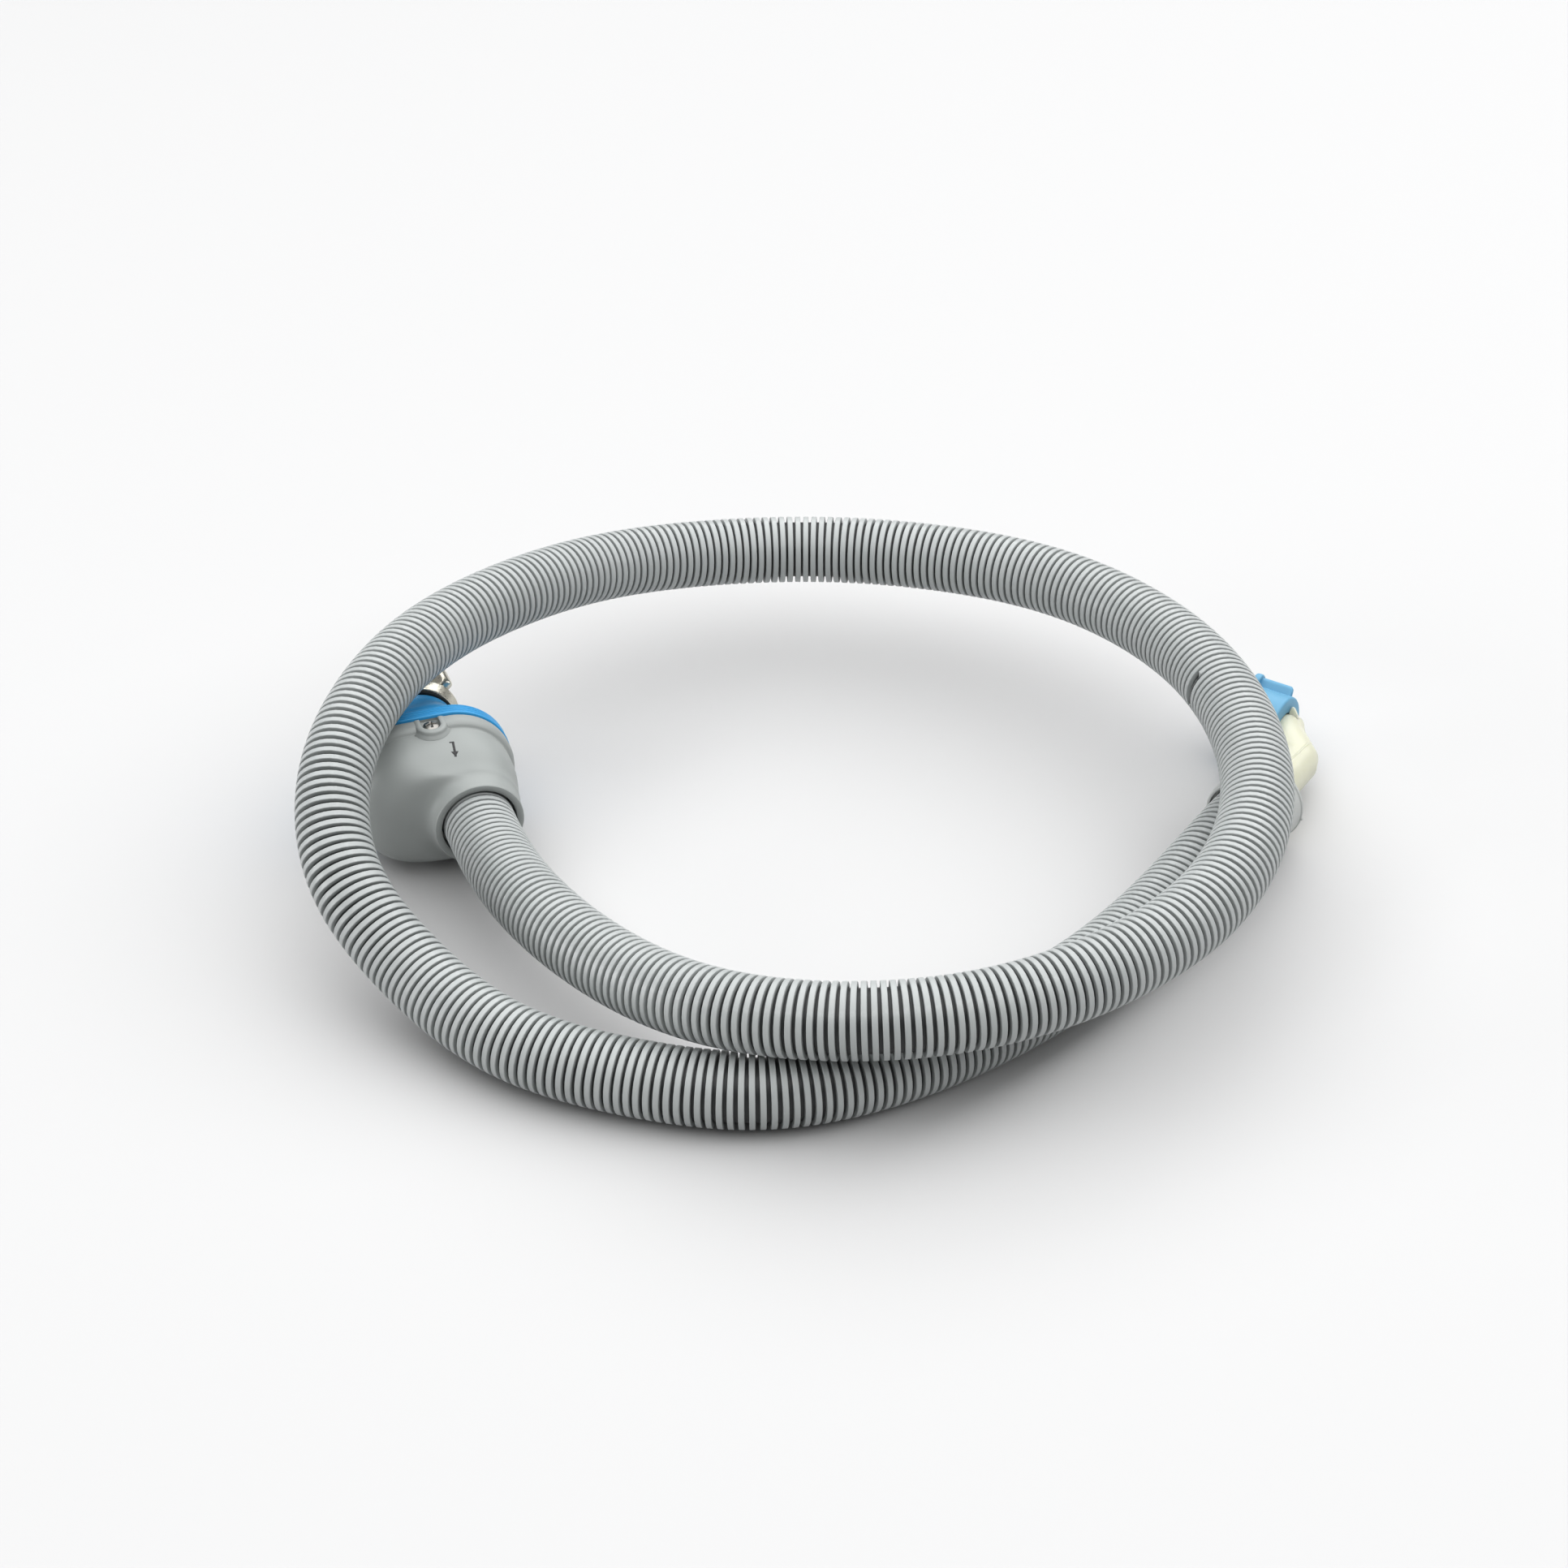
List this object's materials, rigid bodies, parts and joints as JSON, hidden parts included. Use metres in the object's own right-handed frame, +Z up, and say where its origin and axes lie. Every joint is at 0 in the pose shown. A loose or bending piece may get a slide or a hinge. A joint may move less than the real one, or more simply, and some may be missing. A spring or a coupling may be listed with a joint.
{
  "type": "water-stop washing machine inlet hose",
  "caption": "Corrugated water-stop inlet hose lying in a loop, with a valve housing and metal coupling nut at one end and an elbow with a plastic coupling nut at the other.",
  "frame": {"origin": "centre of the bounding box on the surface that the hose lies on", "axes": "+X across the loop from the valve housing to the elbow, +Y across the loop away from the viewer, +Z up"},
  "size_m": [0.4302, 0.3729, 0.0896],
  "materials": {
    "grey_plastic": "satin grey moulded plastic",
    "hose_plastic": "satin grey corrugated plastic",
    "blue_plastic": "satin bright blue moulded plastic",
    "pale_nylon": "translucent pale nylon",
    "valve_plastic": "off-white moulded plastic",
    "black_rubber": "dark rubber",
    "inner_rubber": "dark rubber hose",
    "zinc": "bright die-cast zinc, slightly yellow",
    "steel": "plain steel",
    "brass": "turned brass",
    "pellet": "pressed cellulose"
  },
  "bodies": {
    "hose": {"outer_hose": "hose_plastic", "inner_hose": "inner_rubber", "valve_housing": "grey_plastic", "housing_cover": "blue_plastic", "cover_screw": "steel", "boss_ring": "black_rubber", "inlet_spigot": "valve_plastic", "spigot_o_ring": "black_rubber", "inlet_washer": "black_rubber", "inlet_strainer": "steel", "valve_body": "valve_plastic", "bonnet": "valve_plastic", "stem_seal": "black_rubber", "plunger_spring": "steel", "swelling_capsule": "pellet", "capsule_cage": "valve_plastic", "valve_end_ferrule": "steel", "valve_end_clip": "valve_plastic", "elbow_end_ferrule": "steel", "elbow_end_clip": "valve_plastic", "end_collar": "grey_plastic", "elbow": "pale_nylon", "elbow_snap_ring": "steel", "elbow_washer": "black_rubber"},
    "inlet_coupling": {"inlet_nut": "zinc"},
    "elbow_coupling": {"elbow_nut": "blue_plastic"},
    "valve_plunger": {"plunger": "brass", "plunger_seal": "black_rubber"}
  },
  "joints": [
    {"name": "inlet_nut_turn", "type": "hinge", "parent": "hose", "child": "inlet_coupling", "pos_m": [-0.18365, 0.06553, 0.0305], "axis": [-0.3289, 0.9444, 0], "continuous": true},
    {"name": "elbow_nut_turn", "type": "hinge", "parent": "hose", "child": "elbow_coupling", "pos_m": [0.19084, 0.07572, 0.017], "axis": [-0.8387, 0.5446, 0], "continuous": true},
    {"name": "plunger_close", "type": "slide", "parent": "hose", "child": "valve_plunger", "axis": [0, 0, 1], "range_m": [0, 0.003], "stiffness_N_per_m": 200, "springref_m": -0.001, "deforming": ["plunger_spring", "swelling_capsule"]}
  ]
}
